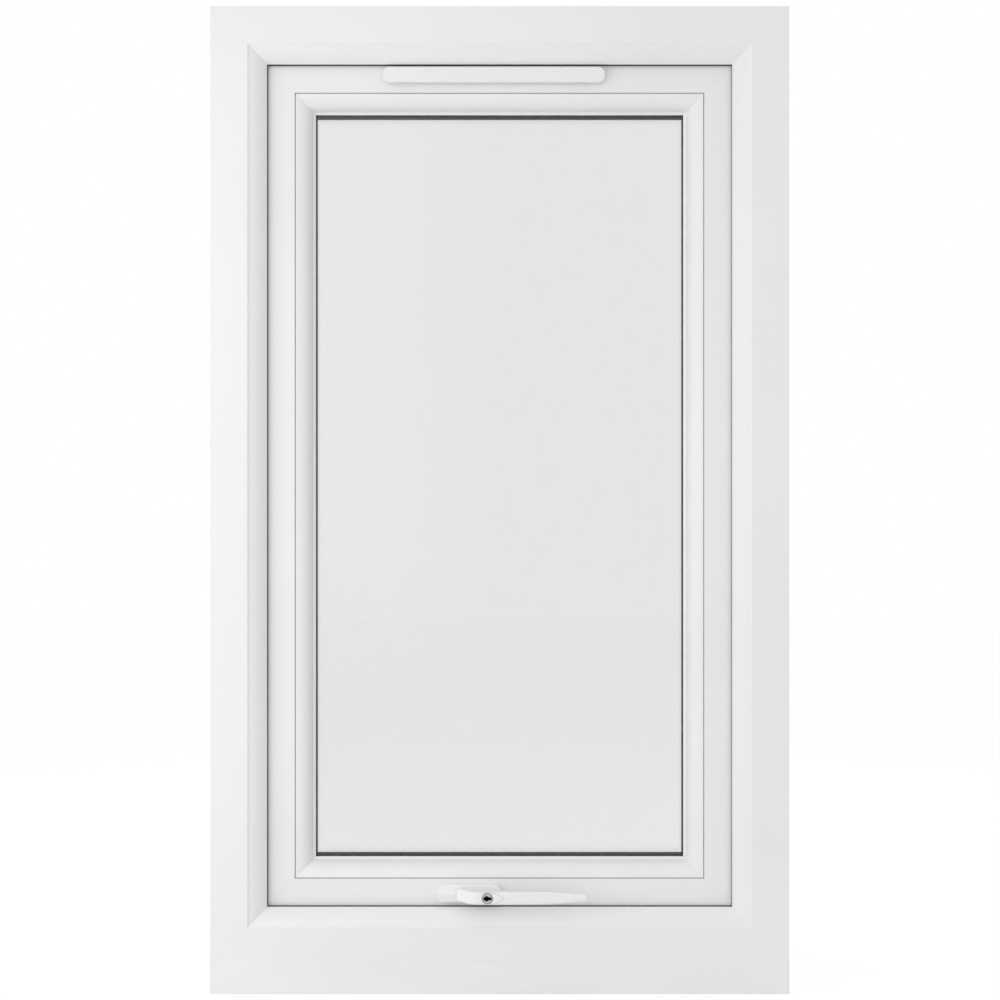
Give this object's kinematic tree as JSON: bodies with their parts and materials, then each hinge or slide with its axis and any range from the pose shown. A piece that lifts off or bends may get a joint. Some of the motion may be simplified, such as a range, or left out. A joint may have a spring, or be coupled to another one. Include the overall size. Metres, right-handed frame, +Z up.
{
  "type": "top-hung window",
  "caption": "White plastic top-hung window in its outer frame with sill: double glazed sash on friction stays, locking lever handle, slot vent in the top rail.",
  "frame": {"origin": "middle of the window's width, mid depth of the outer frame, on the underside of the sill", "axes": "+Z up, +X to the right seen from the room, +Y outdoors"},
  "size_m": [0.61, 0.166, 1.04],
  "materials": {
    "upvc_white": "semi-gloss",
    "handle_white": "satin white powder coat",
    "stainless_steel": "satin",
    "key_chrome": "bright",
    "zinc_casting": "cast, matt grey",
    "black_rubber": "matt",
    "clear_glass": "clear",
    "spacer_aluminium": "satin",
    "edge_sealant": "matt",
    "packer_plastic": "moulded",
    "stay_plastic": "moulded"
  },
  "bodies": {
    "frame": {"frame_head": "upvc_white", "frame_bottom": "upvc_white", "frame_jamb_left": "upvc_white", "frame_jamb_right": "upvc_white", "frame_seal": "black_rubber", "sill": "upvc_white", "sill_cap_left": "upvc_white", "sill_cap_right": "upvc_white", "drain_caps": "upvc_white", "stay_track_left": "stainless_steel", "stay_track_right": "stainless_steel", "stay_cap_left": "stay_plastic", "stay_cap_right": "stay_plastic", "stay_track_screws": "stainless_steel", "stay_frame_rivets": "stainless_steel", "lock_keeps": "zinc_casting"},
    "stay_arm_left": {"stay_arm_left": "stainless_steel"},
    "stay_arm_right": {"stay_arm_right": "stainless_steel"},
    "stay_link_left": {"stay_link_left": "stainless_steel"},
    "stay_link_right": {"stay_link_right": "stainless_steel"},
    "stay_slider_left": {"stay_slider_left": "stay_plastic"},
    "stay_slider_right": {"stay_slider_right": "stay_plastic"},
    "sash": {"sash_top_rail": "upvc_white", "sash_bottom_rail": "upvc_white", "sash_stile_left": "upvc_white", "sash_stile_right": "upvc_white", "sash_seal": "black_rubber", "bead_top": "upvc_white", "bead_bottom": "upvc_white", "bead_left": "upvc_white", "bead_right": "upvc_white", "bead_gasket": "black_rubber", "glazing_gasket": "black_rubber", "glass_inner": "clear_glass", "glass_outer": "clear_glass", "spacer_bar": "spacer_aluminium", "edge_sealant": "edge_sealant", "glazing_packers": "packer_plastic", "stay_sash_arm_left": "stainless_steel", "stay_sash_arm_right": "stainless_steel", "stay_sash_rivets": "stainless_steel", "stay_sash_screws": "stainless_steel", "vent_base": "upvc_white", "vent_canopy": "upvc_white", "handle_base": "handle_white", "handle_plate": "stainless_steel", "handle_screws": "stainless_steel", "lock_gearbox": "zinc_casting", "lock_guides": "packer_plastic"},
    "handle": {"handle_lever": "handle_white", "handle_spindle": "stainless_steel", "lock_pinion": "zinc_casting"},
    "lock_button": {"lock_button": "handle_white"},
    "key_barrel": {"key_barrel": "key_chrome"},
    "lock_rod": {"lock_rod": "stainless_steel", "lock_cams": "stainless_steel"},
    "vent_flap": {"vent_flap": "upvc_white"}
  },
  "joints": [
    {"name": "sash_open", "type": "hinge", "parent": "frame", "child": "stay_arm_left", "pos_m": [-0.2578, 0.02, 0.645], "axis": [-1, 0, 0], "range_deg": [0, 48]},
    {"name": "sash_tilt", "type": "hinge", "parent": "stay_arm_left", "child": "sash", "pos_m": [-0.2578, 0.02, 0.815], "axis": [1, 0, 0], "range_deg": [0, 88]},
    {"name": "arm_right_turn", "type": "hinge", "parent": "sash", "child": "stay_arm_right", "pos_m": [0.2578, 0.02, 0.815], "axis": [-1, 0, 0], "range_deg": [0, 88]},
    {"name": "link_left_swing", "type": "hinge", "parent": "sash", "child": "stay_link_left", "pos_m": [-0.2578, 0.02, 0.985], "axis": [-1, 0, 0], "range_deg": [0, 120]},
    {"name": "slider_left_turn", "type": "hinge", "parent": "stay_link_left", "child": "stay_slider_left", "pos_m": [-0.2578, 0.02, 0.9677], "axis": [1, 0, 0], "range_deg": [0, 80]},
    {"name": "link_right_swing", "type": "hinge", "parent": "sash", "child": "stay_link_right", "pos_m": [0.2578, 0.02, 0.985], "axis": [-1, 0, 0], "range_deg": [0, 120]},
    {"name": "slider_right_turn", "type": "hinge", "parent": "stay_link_right", "child": "stay_slider_right", "pos_m": [0.2578, 0.02, 0.9677], "axis": [1, 0, 0], "range_deg": [0, 80]},
    {"name": "handle_turn", "type": "hinge", "parent": "sash", "child": "handle", "pos_m": [-0.0325, -0.039, 0.10325], "axis": [0, -1, 0], "range_deg": [0, 90]},
    {"name": "rod_slide", "type": "slide", "parent": "sash", "child": "lock_rod", "axis": [1, 0, 0], "range_m": [0, 0.018]},
    {"name": "button_press", "type": "slide", "parent": "handle", "child": "lock_button", "axis": [0, 1, 0], "range_m": [0, 0.0025], "stiffness_N_per_m": 1200},
    {"name": "key_turn", "type": "hinge", "parent": "lock_button", "child": "key_barrel", "pos_m": [-0.0126, -0.0523, 0.10325], "axis": [0, -1, 0], "range_deg": [0, 90]},
    {"name": "vent_tilt", "type": "hinge", "parent": "sash", "child": "vent_flap", "pos_m": [-0.0059, -0.02, 0.966], "axis": [1, 0, 0], "range_deg": [0, 35]}
  ],
  "couplings": [
    {"joint": "sash_tilt", "follows": "sash_open", "ratio": 1.8333},
    {"joint": "arm_right_turn", "follows": "sash_open", "ratio": 1.8333},
    {"joint": "link_left_swing", "follows": "sash_open", "ratio": 2.5},
    {"joint": "slider_left_turn", "follows": "sash_open", "ratio": 1.6667},
    {"joint": "link_right_swing", "follows": "sash_open", "ratio": 2.5},
    {"joint": "slider_right_turn", "follows": "sash_open", "ratio": 1.6667},
    {"joint": "rod_slide", "follows": "handle_turn", "m_per_rad": 0.011459}
  ]
}
